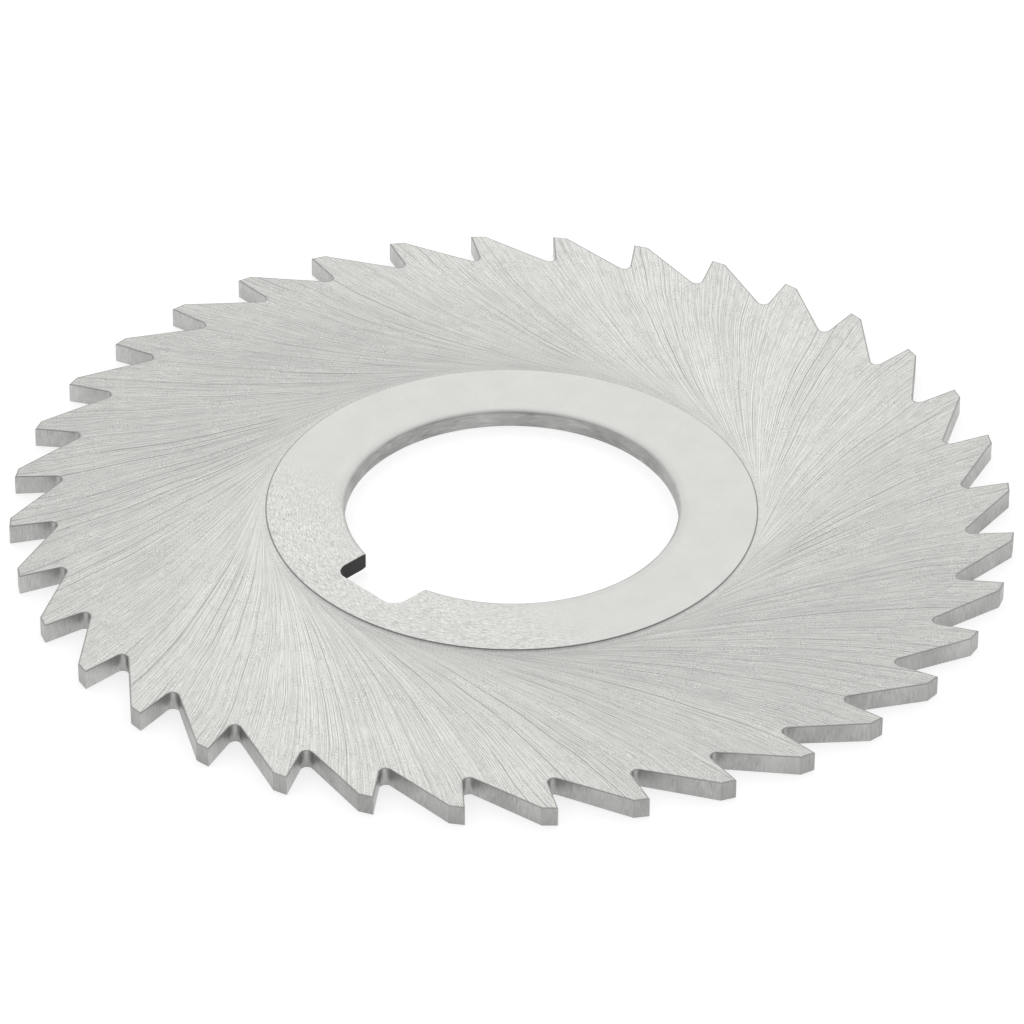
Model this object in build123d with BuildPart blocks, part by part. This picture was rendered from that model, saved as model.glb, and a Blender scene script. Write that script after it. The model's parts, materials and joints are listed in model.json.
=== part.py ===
from build123d import *
from math import radians, sin, sqrt
import os

# Plain tooth slitting saw, ground all over from one disc of steel.
# Millimetres and degrees. The bore axis is Z, the saw lies on the tips of its teeth at
# Z = 0, the keyway points along -Y, and the rake faces look counterclockwise from above.

# Disc
outside_diameter = 76.2  # over the tooth tips, three inches
rim_thickness = 1.5875  # across the tooth tips, a sixteenth of an inch

# Hub that the arbor collars clamp, and the hollow ground web around it
hub_diameter = 37.3
hub_thickness = 1.43
web_thickness = 1.17  # where the web meets the foot of the hub
hub_foot_width = 0.25  # radial width of the curved foot, left by the corner of the wheel

# Bore and keyway
bore_diameter = 25.4  # for a one inch arbor
bore_roll_width = 0.5  # band beside the bore where the hub face rolls off
bore_roll_drop = 0.1
keyway_width = 6.48  # clearance width for a quarter inch key
keyway_height = 28.28  # from the far side of the bore to the floor of the keyway
keyway_corner_radius = 1.15

# Teeth
tooth_count = 36
tooth_depth = 3.6  # from the tip circle to the bottom of the gullet
rake_angle = 8.2  # rake face to the radius through the tip
land_length = 1.16
land_relief = 4.6  # land to the tangent at the tip
gullet_radius = 0.475

outside_radius = outside_diameter / 2
hub_radius = hub_diameter / 2
bore_radius = bore_diameter / 2
root_radius = outside_radius - tooth_depth
keyway_floor = keyway_height - bore_radius
keyway_direction = -90
tooth_pitch = 360 / tooth_count
grinding_stock = max(rim_thickness, hub_thickness)  # on each side of the saw's middle
mid_height = grinding_stock / 2

# One tooth space, from the tip at angle zero down its rake face, around the gullet and up
# the back and the land of the tooth ahead
rake_line = Vector(1, 0).rotate(Axis.Z, rake_angle)
rake_normal = Vector(0, 1).rotate(Axis.Z, rake_angle)
gullet_side = gullet_radius - outside_radius * sin(radians(rake_angle))
gullet_reach = sqrt((root_radius + gullet_radius) ** 2 - gullet_side**2)
gullet_center = rake_line * gullet_reach + rake_normal * gullet_side
rake_foot = gullet_center - rake_normal * gullet_radius
tip = Vector(outside_radius, 0)
tip_ahead = tip.rotate(Axis.Z, tooth_pitch)

with BuildLine() as tooth_space:
    Line(tip, rake_foot)
    land = PolarLine(tip_ahead, land_length, angle=tooth_pitch - 90 - land_relief)
    gullet = CenterArc(gullet_center, gullet_radius, 0, 360, mode=Mode.PRIVATE)
    back = ConstrainedLines(
        gullet, land @ 1, selector=lambda lines: lines.sort_by_distance((0, 0))[0]
    )
    back_foot = back.vertices().sort_by_distance(gullet_center)[0]
    TangentArc(rake_foot, back_foot, tangent=-rake_line)

# Corners of the section through the bore axis, from the axis outwards and from the saw's
# middle upwards
bore_edge = Vector(bore_radius, hub_thickness / 2 - bore_roll_drop)
hub_face_start = Vector(bore_radius + bore_roll_width, hub_thickness / 2)
hub_edge = Vector(hub_radius, hub_thickness / 2)
hub_foot = Vector(hub_radius + hub_foot_width, web_thickness / 2)
rim_edge = Vector(outside_radius, rim_thickness / 2)
web_line = (rim_edge - hub_foot).normalized()
web_end = rim_edge + web_line * grinding_stock
section_plane = Plane((0, 0, mid_height), x_dir=(1, 0, 0), z_dir=(0, -1, 0))

with BuildPart() as slitting_saw:
    # The toothed blank, with stock left on both sides
    with BuildSketch(Plane.XY.offset(mid_height)):
        with BuildLine():
            with PolarLocations(0, tooth_count, start_angle=keyway_direction):
                add(tooth_space.line)
        make_face()
    extrude(amount=grinding_stock, both=True)

    # The bore, the hub faces and the hollow ground sides
    with BuildSketch(section_plane):
        with BuildLine():
            Line((bore_radius, 0), bore_edge)
            TangentArc(hub_face_start, bore_edge, tangent=(-1, 0))
            Line(hub_face_start, hub_edge)
            TangentArc(hub_foot, hub_edge, tangent=-web_line)
            Polyline(hub_foot, web_end, (web_end.X, 0))
            mirror(about=Plane.XZ)
        make_face()
    revolve(axis=Axis.Z, mode=Mode.INTERSECT)

    # The keyway, cut after the edges of the bore were rolled off
    with BuildSketch():
        Rectangle(keyway_width, keyway_floor, align=(Align.CENTER, Align.MAX))
        fillet(vertices().group_by(Axis.Y)[0], keyway_corner_radius)
    extrude(amount=2 * mid_height, mode=Mode.SUBTRACT)

slitting_saw.part.label = "slitting_saw"
os.makedirs("parts", exist_ok=True)
export_step(slitting_saw.part, "parts/slitting_saw.step")
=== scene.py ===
# %% [markdown]
# # A plain tooth slitting saw
# The real saw is one thin disc of hardened steel. The sweeping arcs on its sides are what
# the rim of a grinding wheel leaves, and they give the saw its look. This lesson makes the
# toothed blank first, grinds it to its section, cuts the keyway, and then finishes the
# surfaces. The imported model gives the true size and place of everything, so it is loaded
# before anything else.

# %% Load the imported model
import json
import math

import bmesh
import bpy
from mathutils import Matrix, Vector


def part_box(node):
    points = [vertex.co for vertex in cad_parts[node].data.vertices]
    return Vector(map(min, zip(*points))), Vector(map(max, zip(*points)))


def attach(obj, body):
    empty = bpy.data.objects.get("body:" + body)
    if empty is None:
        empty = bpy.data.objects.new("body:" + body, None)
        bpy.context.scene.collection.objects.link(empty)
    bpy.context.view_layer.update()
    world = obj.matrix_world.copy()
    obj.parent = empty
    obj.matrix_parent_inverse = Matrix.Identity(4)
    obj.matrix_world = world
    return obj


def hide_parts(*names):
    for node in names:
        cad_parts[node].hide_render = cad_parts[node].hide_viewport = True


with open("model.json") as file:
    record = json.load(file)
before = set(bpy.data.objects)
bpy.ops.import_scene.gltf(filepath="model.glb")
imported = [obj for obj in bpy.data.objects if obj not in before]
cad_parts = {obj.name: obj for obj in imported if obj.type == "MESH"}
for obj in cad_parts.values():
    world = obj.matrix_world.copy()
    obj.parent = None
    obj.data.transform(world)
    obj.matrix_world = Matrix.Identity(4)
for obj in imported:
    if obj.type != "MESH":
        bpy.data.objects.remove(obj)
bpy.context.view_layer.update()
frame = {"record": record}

# %% [markdown]
# ## Sizes
# Small things are easier to model large: with one Blender unit for a millimetre, a
# thread-thin edge break is far from the rounding of the numbers. The finished saw is
# shrunk to metres at the end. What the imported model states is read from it: its outside,
# and the mounts, which are the bore, the hub faces and the floor of the keyway. The rest
# of the section and of the teeth is named here.

# %% Read and name the sizes, in millimetres
MM = 0.001
mounts = {mount["name"]: mount for mount in frame["record"]["mounts"]}
low_corner, high_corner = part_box("slitting_saw")
outside_radius = high_corner.x / MM
rim_thickness = (high_corner.z - low_corner.z) / MM
mid_height = (high_corner.z + low_corner.z) / 2 / MM
bore_radius = mounts["arbor_bore"]["dims"]["r_mm"]
keyway_floor = -mounts["keyway"]["pos_m"][1] / MM
upper_face = mounts["collar_face_upper"]["pos_m"][2] / MM
lower_face = mounts["collar_face_lower"]["pos_m"][2] / MM
hub_thickness = upper_face - lower_face

hub_radius = 18.65
web_thickness = 1.17
hub_foot_width = 0.25
bore_roll_width = 0.5
bore_roll_drop = 0.1
keyway_width = 6.48
keyway_corner_radius = 1.15
tooth_count = 36
tooth_depth = 3.6
rake_angle = math.radians(8.2)
land_length = 1.16
land_relief = math.radians(4.6)
gullet_radius = 0.475

hub_top = hub_thickness / 2
foot_radius = hub_radius + hub_foot_width
root_radius = outside_radius - tooth_depth
tooth_pitch = math.tau / tooth_count
print(f"disc {2 * outside_radius:.2f} x {rim_thickness:.4f} mm, bore {2 * bore_radius:.2f} mm")

# %% [markdown]
# ## Drawing lines in edit mode
# Every profile here is drawn as with a pen. A plane is merged to a single vertex, and the
# vertex is extruded from corner to corner. A round stretch is the same vertex spun about
# a centre. Its radius and turn follow from the direction in which it starts and the
# point where it ends, so that it leaves the last line without a kink.

# %% Helpers for drawing and selecting
Y_AXIS = Vector((0, 1, 0))
Z_AXIS = Vector((0, 0, 1))
WELD = 0.0001


def flat(angle):
    """The direction at this angle in the plane of the disc."""
    return Vector((math.cos(angle), math.sin(angle), 0))


def edit_mesh():
    """The mesh that is open in edit mode."""
    return bmesh.from_edit_mesh(bpy.context.object.data)


def start_line(name, point):
    """A new object in edit mode that holds one vertex."""
    bpy.ops.object.select_all(action="DESELECT")
    bpy.ops.mesh.primitive_plane_add(size=1)
    bpy.context.object.name = name
    bpy.ops.object.mode_set(mode="EDIT")
    bpy.ops.mesh.merge(type="CENTER")
    bpy.ops.transform.translate(value=point)


def line_end():
    """The place of the selected vertex, which is the end of the line."""
    return next(vertex for vertex in edit_mesh().verts if vertex.select).co.copy()


def draw_line(*points):
    """Extrudes the end of the line to each point in turn."""
    for point in points:
        bpy.ops.mesh.extrude_vertices_move(TRANSFORM_OT_translate={"value": point - line_end()})


def draw_arc(direction, end, axis, steps):
    """Spins the end of the line to a point, starting in a direction."""
    start = line_end()
    chord = end - start
    side = axis.cross(direction).normalized()
    if side.dot(chord) < 0:
        side = -side
    radius = chord.length_squared / (2 * side.dot(chord))
    center = start + side * radius
    turn = (start - center).angle(end - center)
    if axis.cross(start - center).dot(direction) > 0:
        turn = -turn
    bpy.ops.mesh.spin(steps=steps, angle=turn, center=center, axis=axis)
    print(f"arc of radius {radius:.3f} mm ends {(line_end() - end).length:.6f} mm from its point")


def weld_all():
    """Merges the points that lie on each other, and leaves everything selected."""
    bpy.ops.mesh.select_all(action="SELECT")
    bpy.ops.mesh.remove_doubles(threshold=WELD)
    bpy.ops.mesh.select_all(action="SELECT")


def pick(kind, test):
    """Selects the vertices, edges or faces that pass a test, and says how many."""
    mesh = edit_mesh()
    bpy.ops.mesh.select_mode(type=kind)
    bpy.ops.mesh.select_all(action="DESELECT")
    items = {"VERT": mesh.verts, "EDGE": mesh.edges, "FACE": mesh.faces}[kind]
    found = [item for item in items if test(item)]
    for item in found:
        item.select_set(True)
    mesh.select_flush_mode()
    bmesh.update_edit_mesh(bpy.context.object.data)
    return len(found)


# %% [markdown]
# ## One tooth space
# A tooth space can be milled by an angle cutter: a straight rake face, a round gullet, a
# straight back and a short land behind the next tip. The gullet's arc is tangent to both
# straight faces, so its centre is found first. Then the space is drawn from tip to tip.

# %% Draw one tooth space
tip = flat(0) * outside_radius
next_tip = flat(tooth_pitch) * outside_radius
rake_line = flat(rake_angle)
rake_normal = flat(rake_angle + math.pi / 2)
gullet_side = gullet_radius - outside_radius * math.sin(rake_angle)
gullet_reach = math.sqrt((root_radius + gullet_radius) ** 2 - gullet_side**2)
gullet_center = rake_line * gullet_reach + rake_normal * gullet_side
rake_foot = gullet_center - rake_normal * gullet_radius
land_end = next_tip + flat(tooth_pitch - math.pi / 2 - land_relief) * land_length
to_land = land_end - gullet_center
back_foot_angle = math.atan2(to_land.y, to_land.x) + math.acos(gullet_radius / to_land.length)
back_foot = gullet_center + flat(back_foot_angle) * gullet_radius
gullet_steps = 8

start_line("saw", tip)
draw_line(rake_foot)
draw_arc(-rake_line, back_foot, Z_AXIS, gullet_steps)
draw_line(land_end, next_tip)

# %% [markdown]
# ## The toothed blank
# A milling machine cuts one space, turns the disc by one tooth and cuts the next. In the
# same way a spin with copies repeats the drawn space round the rim. The closed outline is
# filled and drawn out to a blank that is thicker than the saw, so that there is stock to
# grind away.

# %% Repeat it round the rim and fill the outline
bpy.ops.mesh.select_all(action="SELECT")
bpy.ops.mesh.spin(steps=tooth_count, angle=math.tau, axis=Z_AXIS, dupli=True)
weld_all()
bpy.ops.mesh.edge_face_add()
bpy.ops.transform.translate(value=(0, 0, -rim_thickness))
bpy.ops.mesh.extrude_region_move(TRANSFORM_OT_translate={"value": (0, 0, 2 * rim_thickness)})
bpy.ops.mesh.select_all(action="SELECT")
bpy.ops.mesh.normals_make_consistent(inside=False)
bpy.ops.object.mode_set(mode="OBJECT")
saw = bpy.context.object
print("blank with", len(saw.data.polygons) - 2, "wall faces")

# %% [markdown]
# ## The turned and ground section
# Across the saw the thickness changes by tenths of a millimetre, and the light shows each
# of them. The hub is flat, rolls off gently at the bore and steps down to the web in a
# curved foot. The web is hollow ground: it thickens evenly towards the tips, so that only
# they touch the slot's walls. Both sides are alike, so only the upper half is drawn.

# %% Draw half of the section
curve_steps = 4
bore_edge = Vector((bore_radius, 0, hub_top - bore_roll_drop))
roll_end = Vector((bore_radius + bore_roll_width, 0, hub_top))
roll_turn = 2 * math.atan2(bore_roll_drop, bore_roll_width)
hub_edge = Vector((hub_radius, 0, hub_top))
hub_foot = Vector((foot_radius, 0, web_thickness / 2))
rim_edge = Vector((outside_radius, 0, rim_thickness / 2))
web_line = (rim_edge - hub_foot).normalized()
web_end = rim_edge + web_line
foot_chord = (hub_foot - hub_edge).normalized()
foot_start = foot_chord * (2 * foot_chord.dot(web_line)) - web_line

start_line("section", Vector((bore_radius, 0, 0)))
draw_line(bore_edge)
draw_arc(Vector((math.cos(roll_turn), 0, math.sin(roll_turn))), roll_end, Y_AXIS, curve_steps)
draw_line(hub_edge)
draw_arc(foot_start, hub_foot, Y_AXIS, curve_steps)
draw_line(web_end, Vector((web_end.x, 0, 0)))

# %% [markdown]
# ## Grinding the blank to its section
# The half is mirrored by a negative scale and spun into a ring, and the blank keeps only
# what lies inside that ring. The spin's steps are placed so that no line of the mesh
# meets a corner of a tooth, which keeps the cut clean.

# %% Mirror it, spin it and cut the blank to it
ring_steps = 5 * tooth_count
bpy.ops.mesh.select_all(action="SELECT")
bpy.ops.mesh.duplicate()
bpy.ops.transform.resize(value=(1, 1, -1), center_override=(0, 0, 0))
weld_all()
bpy.ops.mesh.spin(steps=ring_steps, angle=math.tau, axis=Z_AXIS, use_auto_merge=True)
weld_all()
bpy.ops.mesh.normals_make_consistent(inside=False)
bpy.ops.transform.rotate(value=math.pi / ring_steps, orient_axis="Z", center_override=(0, 0, 0))
bpy.ops.object.mode_set(mode="OBJECT")
section_ring = bpy.context.object


def cut(target, cutter, operation):
    """Applies a boolean, and deletes the cutter."""
    bpy.ops.object.select_all(action="DESELECT")
    bpy.context.view_layer.objects.active = target
    target.select_set(True)
    bpy.ops.object.modifier_add(type="BOOLEAN")
    modifier = target.modifiers[-1]
    modifier.solver = "EXACT"
    modifier.operation = operation
    modifier.object = cutter
    bpy.ops.object.modifier_apply(modifier=modifier.name)
    bpy.data.objects.remove(cutter)


cut(saw, section_ring, "INTERSECT")
print("ground to the section:", len(saw.data.polygons), "faces")

# %% [markdown]
# ## The keyway
# The keyway is a straight slot with round corners at its floor, such as a broach cuts
# before the disc is hardened. Its cutter is a cube stretched from the middle of the bore to
# that floor, with the two upright edges at the floor bevelled to the corner radius. A bevel
# of a square corner is a true quarter round.

# %% Cut the keyway
corner_steps = 8
bpy.ops.object.select_all(action="DESELECT")
bpy.ops.mesh.primitive_cube_add(size=1)
bpy.ops.object.mode_set(mode="EDIT")
bpy.ops.transform.resize(value=(keyway_width, keyway_floor, 2 * rim_thickness))
bpy.ops.transform.translate(value=(0, -keyway_floor / 2, 0))


def is_upright(edge):
    """A straight edge along the axis of the saw."""
    first, second = (vertex.co for vertex in edge.verts)
    return (first.xy - second.xy).length < WELD and abs(first.z - second.z) > rim_thickness / 2


pick("EDGE", lambda edge: is_upright(edge) and edge.verts[0].co.y < -keyway_floor / 2)
bpy.ops.mesh.bevel(offset=keyway_corner_radius, segments=corner_steps, affect="EDGES")
bpy.ops.object.mode_set(mode="OBJECT")
cut(saw, bpy.context.object, "DIFFERENCE")
print("with the keyway:", len(saw.data.polygons), "faces")

# %% [markdown]
# ## Broken edges
# No ground edge is perfectly sharp. A stone takes a few hundredths of a millimetre off
# it, and that sliver, coloured darker as painted edge shade, shows as the thin line round
# every tooth. The edges are chosen by the faces they join: one wall and one side. The
# upright edge behind each land is broken too, because the land is ground after the back.
# The edge at each tip stays as it is: it is the one that cuts.

# %% Break the edges
edge_break = 0.05
land_break = 0.03
wall_slope = 0.3  # the most that the normal of a wall points up or down
side_slope = 0.8  # the least that the normal of a side does


def is_land_corner(edge):
    """The upright edge where a land meets the back of its tooth."""
    return is_upright(edge) and abs(edge.verts[0].co.xy.length - land_end.length) < land_break


def is_side_edge(edge):
    """An edge between an upright wall and a side of the disc."""
    low, high = sorted(abs(face.normal.z) for face in edge.link_faces)
    return low < wall_slope and high > side_slope


bpy.context.view_layer.objects.active = saw
bpy.ops.object.mode_set(mode="EDIT")
print("land corners", pick("EDGE", is_land_corner))
bpy.ops.mesh.bevel(offset=land_break, segments=1, affect="EDGES")
print("side edges", pick("EDGE", is_side_edge))
bpy.ops.mesh.bevel(offset=edge_break, segments=2, affect="EDGES", clamp_overlap=False)
bpy.ops.object.mode_set(mode="OBJECT")
print("with broken edges:", len(saw.data.polygons), "faces")

# %% [markdown]
# ## Surfaces
# Each way of grinding leaves its own finish, and each wall of a tooth gets its own painted
# shade, so the faces are sorted into surfaces by where they lie and which way they look:
# the web with the sides of the teeth, the hub with the bore that it rolls over into, the
# three walls of a tooth, the walls of the keyway, and the broken edges.

# %% Sort the faces into surfaces
SURFACES = [
    "ground_web", "hub_and_bore",
    "rake_face", "tooth_back", "tooth_land",
    "keyway_wall", "broken_edge",
]
upright_slope = 0.2  # the most that the normal of an upright wall points up or down
level_slope = 0.97  # the least that the normal of a level side does
sliver_area = 0.2  # square millimetres, more than a broken land corner has


def wall_of(face, radius):
    """The name of the tooth wall that an upright face at the rim belongs to."""
    if abs(radius - land_end.length) < land_break / 2 and face.area < sliver_area:
        return "broken_edge"
    if face.normal.xy.dot(face.center.xy) < 0:
        return "rake_face"
    return "tooth_land" if radius > land_end.length - land_break else "tooth_back"


def surface_of(face):
    """The name of the surface that a face belongs to."""
    radius = face.center.xy.length
    slope = abs(face.normal.z)
    if radius < hub_radius + WELD:
        in_keyway = slope < upright_slope and radius > bore_radius + edge_break / 2
        return "keyway_wall" if in_keyway else "hub_and_bore"
    if radius < root_radius - edge_break:
        return "ground_web"
    if slope < upright_slope:
        return wall_of(face, radius)
    return "broken_edge" if slope < level_slope else "ground_web"


for name in SURFACES:
    saw.data.materials.append(bpy.data.materials.new(name))
counts = dict.fromkeys(SURFACES, 0)
for face in saw.data.polygons:
    name = surface_of(face)
    face.material_index = SURFACES.index(name)
    counts[name] += 1
print("faces of each surface", counts)

# %% [markdown]
# ## Size, place and smoothness
# The mesh goes from millimetres to metres and up to its place above the floor. Then it is
# shaded smooth up to an angle, and its normals are weighted by the size of the faces, so
# that a large flat wall stays flat next to the small faces of a round gullet.

# %% Shrink it to metres, place it and shade it
smooth_angle = math.radians(25)
bpy.ops.object.mode_set(mode="EDIT")
bpy.ops.mesh.select_all(action="SELECT")
bpy.ops.transform.translate(value=(0, 0, mid_height))
bpy.ops.transform.resize(value=(MM, MM, MM), center_override=(0, 0, 0))
bpy.ops.object.mode_set(mode="OBJECT")
bpy.ops.object.shade_smooth_by_angle(angle=smooth_angle)
bpy.ops.object.modifier_add(type="WEIGHTED_NORMAL")
saw.modifiers[-1].keep_sharp = True
bpy.ops.object.modifier_apply(modifier=saw.modifiers[-1].name)
saw.name = "ground_saw"
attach(saw, "root")
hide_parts("slitting_saw")
print("saw in metres", [round(side, 5) for side in saw.dimensions])

# %% [markdown]
# ## Node helpers
# A material is a small program made of nodes. These helpers keep it readable: one adds a
# node with its settings, the others do arithmetic on sockets or plain numbers.

# %% Helpers for nodes
def join(tree, value, socket):
    """Links an output to a socket, or writes a plain value into it."""
    if isinstance(value, bpy.types.NodeSocket):
        tree.links.new(value, socket)
    else:
        socket.default_value = value


def add(tree, kind, inputs=None, **settings):
    """A new node, with its settings and what goes into it."""
    node = tree.nodes.new(kind)
    for name, value in settings.items():
        setattr(node, name, value)
    for name, value in (inputs or {}).items():
        join(tree, value, node.inputs[name])
    return node


def calc(tree, operation, *values, clamp=False):
    """One step of arithmetic."""
    node = add(tree, "ShaderNodeMath", operation=operation, use_clamp=clamp)
    for value, socket in zip(values, node.inputs):
        join(tree, value, socket)
    return node.outputs[0]


def sway(tree, middle, *terms):
    """The middle, moved by each value's distance from a half, times its weight."""
    total = middle - sum(weight for value, weight in terms) / 2
    for value, weight in terms:
        total = calc(tree, "MULTIPLY_ADD", value, weight, total)
    return total


def ramp(tree, value, start, end, low=0.0, high=1.0):
    """Low up to start, high from end, and a smooth step between them."""
    node = add(tree, "ShaderNodeMapRange", interpolation_type="SMOOTHSTEP")
    names = ("Value", "From Min", "From Max", "To Min", "To Max")
    for name, item in zip(names, (value, start, end, low, high)):
        join(tree, item, node.inputs[name])
    return node.outputs["Result"]


def noise(tree, parts, scale=1.0, detail=0.0, roughness=1.0):
    """Noise at a point given by its three coordinates."""
    vector = add(tree, "ShaderNodeCombineXYZ", dict(enumerate(parts))).outputs[0]
    inputs = {"Vector": vector, "Scale": scale, "Detail": detail, "Roughness": roughness}
    return add(tree, "ShaderNodeTexNoise", inputs).outputs["Fac"]


def octave_sum(tree, place, scale, octaves):
    """Noise along a line, around zero. Every octave is as strong as the first."""
    inputs = {"W": place, "Scale": scale, "Detail": octaves, "Roughness": 1.0}
    node = add(tree, "ShaderNodeTexNoise", inputs, noise_dimensions="1D", normalize=False)
    return node.outputs["Fac"]


def place_in_mm(tree):
    """The point on the piece in millimetres, with the middle of the saw as zero."""
    place = add(tree, "ShaderNodeTexCoord").outputs["Object"]
    x, y, z = add(tree, "ShaderNodeSeparateXYZ", {0: place}).outputs
    x, y, z = (calc(tree, "DIVIDE", part, MM) for part in (x, y, z))
    return x, y, calc(tree, "SUBTRACT", z, mid_height)


def length_of(tree, x, y):
    """How far a point lies from the axis of the saw."""
    return calc(tree, "SQRT", calc(tree, "MULTIPLY_ADD", x, x, calc(tree, "MULTIPLY", y, y)))


def new_group(name, inputs, outputs):
    """A node group with number inputs and the named outputs."""
    group = bpy.data.node_groups.new(name, "ShaderNodeTree")
    for label, default in inputs.items():
        socket = group.interface.new_socket(label, in_out="INPUT", socket_type="NodeSocketFloat")
        socket.default_value = default
    for label in outputs:
        group.interface.new_socket(label, in_out="OUTPUT", socket_type="NodeSocketFloat")
    given = group.nodes.new("NodeGroupInput").outputs
    return group, given, group.nodes.new("NodeGroupOutput").inputs


def use_group(tree, group, **inputs):
    """The outputs of a group, with the inputs that this finish gives it."""
    node = add(tree, "ShaderNodeGroup", node_tree=group)
    for name, value in inputs.items():
        join(tree, value, node.inputs[name.replace("_", " ")])
    return node.outputs


# %% [markdown]
# ## The way of the grinding wheel
# The streaks on the web could come from the rim of a large cup wheel that swept across
# the slowly turning saw, so that each of its grains scratched a circular arc from the hub
# out to the teeth. All arcs are one arc, turned about the axis of the saw. For any point,
# the law of cosines gives the angle at which the centre of its own arc lies, and that
# angle is the name of the arc. Below the middle of the disc the pattern is mirrored, as if
# the same wheel had ground the other side with the saw turned over.

# %% Find the arc of a point
wheel_radius = 80.0
wheel_offset = 99.0
wheel_reach = wheel_offset - wheel_radius
wheel_power = wheel_offset**2 - wheel_radius**2


def find_arc(tree):
    """Where a point lies on the side it is on, and the arc that runs through it."""
    x, y, z = place_in_mm(tree)
    side = calc(tree, "SIGN", z)
    y = calc(tree, "MULTIPLY", y, side)
    radius = length_of(tree, x, y)
    squared = calc(tree, "MULTIPLY", radius, radius)
    opposite = calc(tree, "DIVIDE", calc(tree, "ADD", squared, wheel_power), 2 * wheel_offset)
    share = calc(tree, "MINIMUM", calc(tree, "DIVIDE", opposite, radius), 1.0)
    sweep = calc(tree, "ARCCOSINE", share)
    angle = calc(tree, "SUBTRACT", calc(tree, "ARCTAN2", y, x), sweep)
    return {"x": x, "y": y, "side": side, "radius": radius, "sweep": sweep, "angle": angle}


print(f"arcs of {wheel_radius} mm that come as close to the axis as {wheel_reach} mm")

# %% [markdown]
# ## The grinding arcs
# A noise of the angle of the arc gives a streak along every arc. The arcs fan out, but the
# grains of the wheel don't grow, so the streaks have to stay equally wide. A noise with
# octaves is a sum of ever finer noises, and the one with the right width has a number that
# grows with the distance between the arcs. Subtracting the sum without the last octave
# from the sum with it leaves just that one. Two sets of streaks take turns in patches, so
# that each streak begins and ends somewhere, as a grain only cuts for a while.
# Short marks a millimetre long and broad bands lie along the same arcs.
# A few grains stand out of the wheel and leave scratches. A Voronoi texture in one
# dimension has one point in each cell at a random place. The distance to it gives a
# scratch of even width, and the random colour of the cell says how deep it is.
# Each shift only moves a noise, so that no two patterns are the same.

# %% Build the grinding arcs group
wander_cells = 0.15  # to the millimetre, for the slow bending of the arcs
wander_turn = 0.025  # radians
coarsest_cells = 40.0  # to the radian, in the first octave of the streaks
scratch_start, scratch_full = 19.5, 22.5  # radii between which the scratches set in
scratch_run = 9.0  # millimetres along the radius after which a scratch may fade
scratch_rows = 90.0  # rows of noise, so that each scratch fades in its own places


def build_arcs():
    """The group that draws everything that runs along the arcs."""
    tree, given, result = new_group(
        "Grinding arcs",
        {"Streak Width": 0.075, "Band Count": 24.0, "Scratch Width": 0.05},
        ["Streaks", "Short Marks", "Bands", "Dark Scratches", "Scratches And Glints", "Radius"],
    )
    arc = find_arc(tree)
    radius = arc["radius"]
    wander = noise(tree, (arc["x"], arc["y"], 0.0), wander_cells)
    angle = calc(tree, "MULTIPLY_ADD", wander, wander_turn, arc["angle"])
    around = calc(tree, "COSINE", angle), calc(tree, "SINE", angle)
    spread = calc(tree, "MULTIPLY", radius, calc(tree, "SINE", arc["sweep"]))
    spread = calc(tree, "MULTIPLY", spread, wheel_offset / wheel_radius)
    spread = calc(tree, "MAXIMUM", spread, 1.0)

    octaves = calc(tree, "MULTIPLY", given["Streak Width"], coarsest_cells)
    octaves = calc(tree, "LOGARITHM", calc(tree, "DIVIDE", spread, octaves), 2.0)
    octaves = calc(tree, "MAXIMUM", octaves, 1.0)

    def even_streaks(shift):
        """The last octave of the noise alone, from -1 to 1."""
        place = calc(tree, "ADD", angle, shift)
        whole = octave_sum(tree, place, coarsest_cells, octaves)
        rest = octave_sum(tree, place, coarsest_cells, calc(tree, "SUBTRACT", octaves, 1.0))
        return calc(tree, "SUBTRACT", whole, rest)

    def patches(count, run, shift):
        """Noise with this many cells to the radian, and one in run millimetres outwards."""
        across = [calc(tree, "MULTIPLY", part, count) for part in around]
        outwards = calc(tree, "MULTIPLY_ADD", radius, 1 / run, shift)
        return noise(tree, (*across, outwards))

    def scratches(count, shift, rarity):
        """Thin scratches of even width, most of them faint and a few deep."""
        inputs = {"W": calc(tree, "ADD", angle, shift), "Scale": count}
        cell = add(tree, "ShaderNodeTexVoronoi", inputs, voronoi_dimensions="1D").outputs
        away = calc(tree, "MULTIPLY", cell["Distance"], calc(tree, "DIVIDE", spread, count))
        thin = ramp(tree, away, 0.0, given["Scratch Width"], 1.0, 0.0)
        chance = add(tree, "ShaderNodeSeparateColor", {0: cell["Color"]}).outputs
        depth = calc(tree, "POWER", chance[0], rarity)
        own_row = calc(tree, "MULTIPLY", chance[1], scratch_rows)
        along = noise(tree, (own_row, calc(tree, "DIVIDE", radius, scratch_run), shift))
        depth = calc(tree, "MULTIPLY", depth, ramp(tree, along, 0.3, 0.5))
        depth = calc(tree, "MULTIPLY", depth, ramp(tree, radius, scratch_start, scratch_full))
        return calc(tree, "MULTIPLY", thin, depth)

    turns = ramp(tree, patches(count=60.0, run=3.0, shift=5.1), 0.4, 0.6)
    streaks = add(tree, "ShaderNodeMix", {0: turns, 2: even_streaks(11.3), 3: even_streaks(31.7)})
    swing = ramp(tree, radius, wheel_reach, wheel_reach + 0.4, 0.0, 0.5)
    join(tree, calc(tree, "MULTIPLY_ADD", streaks.outputs[0], swing, 0.5), result["Streaks"])
    join(tree, patches(count=350.0, run=1.0, shift=7.7), result["Short Marks"])
    join(tree, patches(count=given["Band Count"], run=25.0, shift=3.7), result["Bands"])
    join(tree, scratches(count=28.0, shift=23.1, rarity=1.5), result["Dark Scratches"])
    # These scratches are real grooves in the bump, and also painted glints in the web's colour.
    join(tree, scratches(count=20.0, shift=57.9, rarity=4.0), result["Scratches And Glints"])
    join(tree, radius, result["Radius"])
    return tree


grinding_arcs = build_arcs()
print("group", grinding_arcs.name, "with", len(grinding_arcs.nodes), "nodes")
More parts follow.
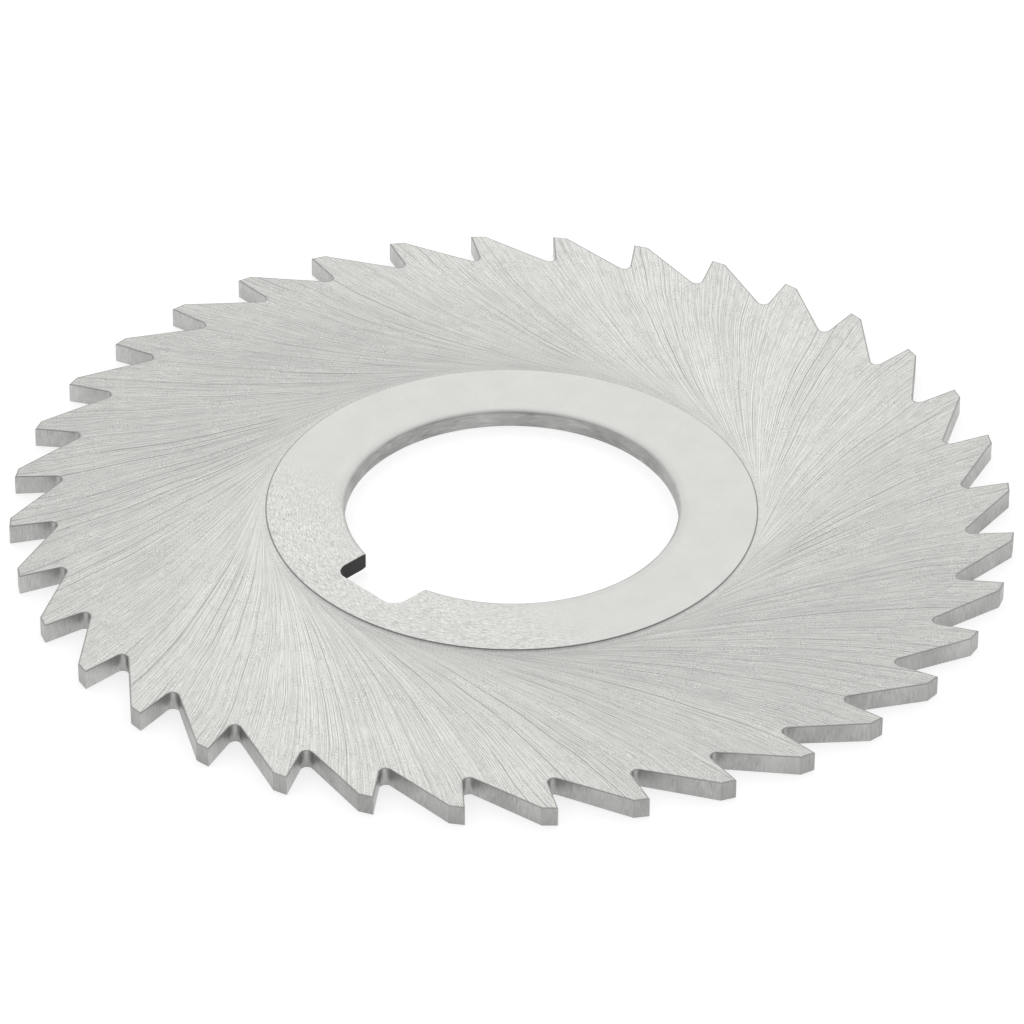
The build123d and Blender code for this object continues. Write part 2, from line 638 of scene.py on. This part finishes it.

# %% [markdown]
# ## The outline of the teeth
# A dark hairline of painted edge shade runs along every tooth. To draw it, a point is turned
# back by whole teeth until it lies on the first one. There the walls of the tooth are three
# straight lines and two round gullets.
# The distance to a line is a dot product with its normal. Below its foot a line no longer
# counts, so the way to the foot is taken where that is longer. The nearest wall counts.

# %% Build the tooth outline group
def build_outline():
    """The group that measures the way to the nearest wall of a tooth."""
    tree, _, result = new_group("Tooth outline", {}, ["Distance"])
    x, y, _ = place_in_mm(tree)
    radius = length_of(tree, x, y)
    gullet_angle = math.atan2(gullet_center.y, gullet_center.x)
    angle = calc(tree, "ARCTAN2", y, x)
    angle = calc(tree, "WRAP", angle, gullet_angle, gullet_angle - tooth_pitch)
    across = calc(tree, "MULTIPLY", radius, calc(tree, "COSINE", angle))
    upwards = calc(tree, "MULTIPLY", radius, calc(tree, "SINE", angle))
    point = add(tree, "ShaderNodeCombineXYZ", {"X": across, "Y": upwards}).outputs[0]
    back_turn = Matrix.Rotation(-tooth_pitch, 3, "Z")

    def along(direction, start):
        """How far the point lies beyond the start in a direction."""
        inputs = {0: point, 1: direction}
        node = add(tree, "ShaderNodeVectorMath", inputs, operation="DOT_PRODUCT")
        return calc(tree, "SUBTRACT", node.outputs["Value"], direction.dot(start))

    def to_wall(inwards, foot, start):
        """The distance to a straight wall that ends at its foot."""
        up_wall = (start - foot).normalized()
        return calc(tree, "MAXIMUM", along(inwards, foot), along(-up_wall, foot))

    def to_gullet(center):
        """The distance to a gullet with this centre."""
        node = add(tree, "ShaderNodeVectorMath", {0: point, 1: center}, operation="DISTANCE")
        return calc(tree, "SUBTRACT", node.outputs["Value"], gullet_radius)

    foot, shoulder = back_turn @ back_foot, back_turn @ land_end
    back_normal = (shoulder - foot).cross(Z_AXIS).normalized()
    land_normal = (tip - shoulder).cross(Z_AXIS).normalized()
    distance = to_wall(-rake_normal, rake_foot, tip)
    for other in (
        to_wall(-back_normal, foot, shoulder), along(-land_normal, tip),
        to_gullet(gullet_center), to_gullet(back_turn @ gullet_center),
    ):
        distance = calc(tree, "MINIMUM", distance, other)
    join(tree, distance, result["Distance"])
    return tree


tooth_outline = build_outline()
print("group", tooth_outline.name, "with", len(tooth_outline.nodes), "nodes")

# %% [markdown]
# ## Grain
# Every surface also has a finer grain. One group serves them all. It stretches a noise by
# its own number of cells to the millimetre in each direction. The grain is stronger in
# some patches than in others, as no wheel cuts quite evenly, and there is a soft clouding.

# %% Build the grain group
patch_cells = 0.7  # to the millimetre
patch_strength = 0.4, 1.3  # of the weakest and the strongest patches


def build_grain():
    """The group that every finish takes its grain from."""
    tree, given, result = new_group(
        "Grain",
        {"Flat Cells": 3.0, "Upright Cells": 3.0, "Cloud Cells": 0.3},
        ["Grain", "Clouding", "Radius"],
    )
    x, y, z = place_in_mm(tree)
    parts = [calc(tree, "MULTIPLY", part, given["Flat Cells"]) for part in (x, y)]
    parts.append(calc(tree, "MULTIPLY", z, given["Upright Cells"]))
    even = noise(tree, parts, detail=1.0)
    patch = noise(tree, (x, y, z), patch_cells, detail=1.0)
    strength = ramp(tree, patch, 0.35, 0.65, *patch_strength)
    patchy = calc(tree, "MULTIPLY", calc(tree, "SUBTRACT", even, 0.5), strength)
    join(tree, calc(tree, "ADD", patchy, 0.5), result["Grain"])
    clouds = noise(tree, (x, y, z), given["Cloud Cells"], detail=2.0, roughness=0.5)
    join(tree, clouds, result["Clouding"])
    join(tree, length_of(tree, x, y), result["Radius"])
    return tree


grain_group = build_grain()
print("group", grain_group.name, "with", len(grain_group.nodes), "nodes")

# %% [markdown]
# ## The steel
# All surfaces are the same bare steel, so one function makes each finish: a colour, a
# roughness between two values, and a height for the bump. The bump's distance is the
# height in metres of a rise from 0 to 1.

# %% Helpers for the finishes
def grey(value, blue=0.98):
    """A linear grey with a little less blue than red."""
    return (value, value, value * blue, 1.0)


def mix(tree, factor, first, second):
    """A colour between two colours."""
    node = add(tree, "ShaderNodeMix", data_type="RGBA")
    for value, socket in ((factor, 0), (first, 6), (second, 7)):
        join(tree, value, node.inputs[socket])
    return node.outputs[2]


def shade(tree, tone, low, high, low_blue=0.98, high_blue=0.98):
    """A grey between two greys, by a tone from 0 to 1."""
    tone = calc(tree, "ADD", tone, 0.0, clamp=True)
    return mix(tree, tone, grey(low, low_blue), grey(high, high_blue))


def open_tree(name):
    """The nodes of a material."""
    material = bpy.data.materials[name]
    material.use_nodes = True
    return material.node_tree


def finish_steel(tree, color, roughness, height, distance):
    """Makes the shader bare metal with this colour, roughness and bump."""
    shader = tree.nodes["Principled BSDF"]
    shader.inputs["Metallic"].default_value = 1.0
    join(tree, color, shader.inputs["Base Color"])
    join(tree, roughness, shader.inputs["Roughness"])
    bump = add(tree, "ShaderNodeBump", {"Height": height, "Distance": distance})
    join(tree, bump.outputs["Normal"], shader.inputs["Normal"])
    return shader


# %% [markdown]
# ## The colour of the web
# The streaks, the scratches and the grain tint the steel, from a dull grey to a bright one
# that is a little warmer, and the bright scratches are lifted further as a painted glint. The
# dark scratches mix the colour towards a dark grey. The hairline along the teeth and the dark
# line and faint band at the foot of the hub are painted shade, mixed towards dark greys too.

# %% Colour the web
web_greys = 0.48, 0.88
glint_gain = 0.3
scratch_depth, scratch_grey = 0.85, 0.18
edge_shade_span, edge_shade_depth, edge_shade_grey = (0.06, 0.16), 0.7, 0.28
# Painted shade at the foot of the hub, outwards from it: where each part begins and ends to fade,
# its depth and its grey
foot_shade_marks = {"band": (0.15, 0.45, 0.12, 0.4), "line": (0.03, 0.1, 0.85, 0.17)}

tree = open_tree("ground_web")
arcs = use_group(tree, grinding_arcs)
grain = use_group(tree, grain_group, Flat_Cells=10.0, Upright_Cells=10.0, Cloud_Cells=0.15)
tone = sway(
    tree, 0.5,
    (arcs["Streaks"], 1.55), (arcs["Short Marks"], 0.5), (arcs["Bands"], 0.2),
    (grain["Grain"], 1.5), (grain["Clouding"], 0.2),
)
# The bright scratches lighten the colour further, as a painted glint.
marked = calc(tree, "MULTIPLY_ADD", arcs["Scratches And Glints"], glint_gain, tone)
color = shade(tree, marked, *web_greys, low_blue=0.99, high_blue=0.97)
scratched = calc(tree, "MULTIPLY", arcs["Dark Scratches"], scratch_depth)
color = mix(tree, scratched, color, grey(scratch_grey))
to_wall = use_group(tree, tooth_outline)["Distance"]
# Painted edge shade: a dark hairline along the walls of the teeth.
edge_shade_line = ramp(tree, to_wall, *edge_shade_span, edge_shade_depth, 0.0)
color = mix(tree, edge_shade_line, color, grey(edge_shade_grey))
# Mix in the painted shade at the foot of the hub.
for start, end, depth, foot_shade_grey in foot_shade_marks.values():
    foot_shade = ramp(tree, arcs["Radius"], hub_radius + start, hub_radius + end, depth, 0.0)
    color = mix(tree, foot_shade, color, grey(foot_shade_grey))
print("web tinted from", web_greys[0], "to", web_greys[1])

# %% [markdown]
# ## The grooves of the web
# The same pattern is bumped a little, and the dark scratches are cut into it. Most
# grooves of a ground face are finer than a picture can show. Together they stretch every
# reflection across themselves, which is what the shader's anisotropy does: it makes the
# web brighter where the arcs run along the view and darker where they run across it. The
# stretch follows the tangent, and that points from each place to the centre of its arc.

# %% Groove the web and stretch its reflections
web_roughness = 0.42, 0.34
web_anisotropy = 0.7
groove_height = 1.5e-5
groove_start, groove_full = hub_radius + 0.2, hub_radius + 0.6

relief = ramp(tree, arcs["Radius"], groove_start, groove_full)
relief = calc(tree, "MULTIPLY", calc(tree, "SUBTRACT", marked, arcs["Dark Scratches"]), relief)
roughness = ramp(tree, tone, 0.0, 1.0, *web_roughness)
shader = finish_steel(tree, color, roughness, relief, groove_height)
shader.inputs["Anisotropic"].default_value = web_anisotropy

arc = find_arc(tree)
center_x = calc(tree, "MULTIPLY", calc(tree, "COSINE", arc["angle"]), wheel_offset)
center_y = calc(tree, "MULTIPLY", calc(tree, "SINE", arc["angle"]), wheel_offset)
across_x = calc(tree, "SUBTRACT", center_x, arc["x"])
across_y = calc(tree, "MULTIPLY", calc(tree, "SUBTRACT", center_y, arc["y"]), arc["side"])
across = add(tree, "ShaderNodeCombineXYZ", {"X": across_x, "Y": across_y})
join(tree, across.outputs[0], shader.inputs["Tangent"])
print("material ground_web with", len(tree.nodes), "nodes")

# %% [markdown]
# ## The face of the hub
# The hub was ground flat and fine, so it is the smoothest and lightest surface, with
# traces of thin rings about the axis. Beside the keyway it has a rough grain, and on the
# far side it is smooth. So the grain is multiplied by a strength that grows towards the
# keyway. Towards the bore the face gets a little painted shade.

# %% Tone the face of the hub
ring_cells_around, ring_cells_outwards = 40.0, 18.0
rough_direction = math.radians(270)
rough_range = 0.3, 0.95  # in that direction, in parts of the hub's radius
grain_strength = 0.35, 10.0  # on the smooth side and beside the keyway

tree = open_tree("hub_and_bore")
face = use_group(tree, grain_group, Flat_Cells=23.0, Upright_Cells=1.0, Cloud_Cells=0.5)
radius = face["Radius"]
x, y, _ = place_in_mm(tree)
around = [calc(tree, "DIVIDE", part, radius) for part in (x, y)]
around = [calc(tree, "MULTIPLY", part, ring_cells_around) for part in around]
rings = noise(tree, (*around, calc(tree, "MULTIPLY", radius, ring_cells_outwards)))

rough_side = flat(rough_direction) / hub_radius
to_rough_side = calc(tree, "MULTIPLY", y, rough_side.y)
to_rough_side = calc(tree, "MULTIPLY_ADD", x, rough_side.x, to_rough_side)
strength = ramp(tree, to_rough_side, *rough_range, *grain_strength)
speckle = calc(tree, "MULTIPLY", sway(tree, 0.0, (face["Grain"], 1.0), (rings, 0.35)), strength)
face_tone = calc(tree, "ADD", sway(tree, 0.5, (face["Clouding"], 0.2)), speckle)
# Painted shade: the face darkens a little towards the bore.
bore_side_shade = ramp(tree, radius, bore_radius + 0.2, bore_radius + 1.0, 0.15, 0.0)
face_tone = calc(tree, "SUBTRACT", face_tone, bore_side_shade)
print("hub roughest at", round(math.degrees(rough_direction)), "degrees")

# %% [markdown]
# ## The bore and the edge of the hub
# The hub has no hard border with the bore: over the roll-off its colour is mixed towards
# the mottled wall as painted shade, and the wall's own darker grey is partly painted shade.
# So one material serves both, and a mask by the radius mixes them. The outer edge of the
# hub is a dark hairline of painted shade, made in the same way.

# %% Finish the hub and the bore
hub_greys, bore_greys, hub_edge_shade_grey = (0.54, 0.87), (0.25, 0.48), 0.2
hub_roughness = 0.4, 0.34
hub_bump = 4e-6

wall = use_group(tree, grain_group, Flat_Cells=0.8, Upright_Cells=6.0, Cloud_Cells=0.25)
# Painted shade over the roll-off, mixing the face towards the bore wall's grey.
roll_off_shade = ramp(tree, radius, bore_radius + 0.02, bore_radius + 0.3, 0.75, 0.0)
on_wall = ramp(tree, radius, bore_radius + 0.005, bore_radius + 0.03, 1.0, 0.0)
into_bore = calc(tree, "MAXIMUM", roll_off_shade, on_wall)
wall_tone = sway(tree, 0.5, (wall["Grain"], 1.5), (wall["Clouding"], 1.8))
face_color = shade(tree, face_tone, *hub_greys)
# The bore wall's darker greys are partly painted shade.
color = mix(tree, into_bore, face_color, shade(tree, wall_tone, *bore_greys))

# Painted shade: a dark hairline on the hub's outer edge, where it steps down to the web.
edge_shade_line = ramp(tree, radius, hub_radius - 0.07, hub_radius - 0.02, 0.0, 0.65)
color = mix(tree, edge_shade_line, color, grey(hub_edge_shade_grey))
roughness = ramp(tree, face_tone, 0.0, 1.0, *hub_roughness)
finish_steel(tree, color, roughness, face["Grain"], hub_bump)
print("material hub_and_bore with", len(tree.nodes), "nodes")

# %% [markdown]
# ## Walls and edges
# The grain on the walls of the teeth is long along the axis, as from a wheel that ran that
# way. The walls are greyer than the sides, with the rake face the brightest and the land the
# dullest: painted shade for the way each wall faces the light. The wall of the keyway is
# almost black, as if it had never been ground after hardening. The broken edges are dull,
# and a little darker than the sides as painted edge shade. All five finishes are made alike,
# so one loop makes them from their numbers.

# %% Finish the walls and edges
# Painted shade: the walls are greyer than the sides and differ by wall, and the broken edges are
# darker.
for name, flat_cells, upright_cells, greys, roughness, distance in (
    ("rake_face", 7.0, 1.2, (0.42, 0.58), 0.38, 4e-6),
    ("tooth_back", 7.0, 1.2, (0.35, 0.51), 0.38, 4e-6),
    ("tooth_land", 7.0, 1.2, (0.32, 0.45), 0.38, 4e-6),
    ("broken_edge", 3.0, 3.0, (0.32, 0.38), 0.45, 2e-6),
    ("keyway_wall", 4.0, 4.0, (0.045, 0.055), 0.5, 2e-6),
):
    tree = open_tree(name)
    grain = use_group(
        tree, grain_group, Flat_Cells=flat_cells, Upright_Cells=upright_cells, Cloud_Cells=0.4
    )
    tone = sway(tree, 0.5, (grain["Grain"], 1.5), (grain["Clouding"], 1.5))
    rough = ramp(tree, tone, 0.0, 1.0, roughness + 0.04, roughness - 0.03)
    finish_steel(tree, shade(tree, tone, *greys), rough, grain["Grain"], distance)
    print("material", name, "from grey", greys[0], "to", greys[1])

# %% [markdown]
# ## Camera
# The outline of the saw in the photograph fits a camera half a metre away with a long
# lens, which looks down at 35 degrees. The aim lies a little in front of the axis.

# %% Place the camera
view_azimuth = math.radians(44.776)
view_elevation = math.radians(34.767)
view_roll = math.radians(0.434)
view_distance = 492.7 * MM
aim_right = 0.014 * MM
aim_up = -0.590 * MM
lens_length = 228.04
nearest_seen = 0.01

turn = Matrix.Rotation(view_azimuth, 3, "Z")
turn @= Matrix.Rotation(math.pi / 2 - view_elevation, 3, "X")
turn @= Matrix.Rotation(view_roll, 3, "Z")
place = Vector((0, 0, high_corner.z)) + turn @ Vector((aim_right, aim_up, view_distance))
bpy.ops.object.camera_add(location=place, rotation=turn.to_euler())
camera = bpy.context.object
camera.data.lens = lens_length
camera.data.clip_start = nearest_seen
bpy.context.scene.camera = camera
bpy.context.scene.view_settings.view_transform = "Standard"
print("camera at", [round(value, 4) for value in camera.location])

# %% [markdown]
# ## Floor
# The saw lies on a plain white table. Its white comes from its own colour. A little light
# that only the camera and reflections see lifts it to pure white, so no lamp has to be
# turned up for it, and the shadow of the saw stays.

# %% Make the floor
table_size = 6  # metres
table_gap = 0.00002  # metres, so that it doesn't touch the tips of the teeth
table_grey = 0.6
table_glow = 0.65

bpy.ops.object.select_all(action="DESELECT")
bpy.ops.mesh.primitive_plane_add(size=table_size, location=(0, 0, -table_gap))
floor = bpy.context.object
floor.name = "floor"
floor.data.materials.append(bpy.data.materials.new("white_table"))
tree = open_tree("white_table")
shader = tree.nodes["Principled BSDF"]
shader.inputs["Base Color"].default_value = (table_grey, table_grey, table_grey, 1)
shader.inputs["Roughness"].default_value = 1.0
shader.inputs["Specular IOR Level"].default_value = 0.0
shader.inputs["Emission Color"].default_value = (1, 1, 1, 1)
light_path = add(tree, "ShaderNodeLightPath").outputs
seen = calc(tree, "MAXIMUM", light_path["Is Camera Ray"], light_path["Is Glossy Ray"])
seen = calc(tree, "MAXIMUM", seen, light_path["Is Transmission Ray"])
join(tree, calc(tree, "MULTIPLY", seen, table_glow), shader.inputs["Emission Strength"])
print("table", table_gap / MM, "mm under the saw")

# %% [markdown]
# ## Light
# A white tent lights the saw. Low down it is plain white all round, which is also the
# background of a low view. Above that it is brightest behind the saw, where a polished
# side would mirror it to the camera. It gets dimmer towards the front and overhead, so
# that streaks and edges that turn away from its bright side show. Its bright side is a
# trace warmer than its dim side.

# %% Light the scene
tent_behind = 1.15
tent_front = 0.55
tent_overhead = 0.62
front_to_back = -0.7, 0.9  # cosines of the angle to the bright side
horizon_band = 0.07, 0.16  # sines of the height above the horizon
overhead_band = 0.55, 0.95
bright_tint = (0.993, 1.0, 0.98, 1.0)
dim_tint = (1.0, 1.0, 1.02, 1.0)
plain_white = (1, 1, 1, 1)

world = bpy.data.worlds.new("tent")
bpy.context.scene.world = world
world.use_nodes = True
tree = world.node_tree
bright_side = flat(view_azimuth + math.pi / 2)
direction = add(tree, "ShaderNodeTexCoord").outputs["Generated"]
facing = add(
    tree, "ShaderNodeVectorMath", {0: direction, 1: bright_side}, operation="DOT_PRODUCT"
).outputs["Value"]
up = add(tree, "ShaderNodeSeparateXYZ", {0: direction}).outputs["Z"]
glow = ramp(tree, facing, *front_to_back, tent_front, tent_behind)
glow = ramp(tree, up, *overhead_band, glow, tent_overhead)
glow = ramp(tree, up, *horizon_band, 1.0, glow)
tint = mix(tree, ramp(tree, facing, *front_to_back), dim_tint, bright_tint)
tint = mix(tree, ramp(tree, up, *horizon_band), plain_white, tint)
join(tree, glow, tree.nodes["Background"].inputs["Strength"])
join(tree, tint, tree.nodes["Background"].inputs["Color"])
print("tent from", tent_front, "in front to", tent_behind, "behind")
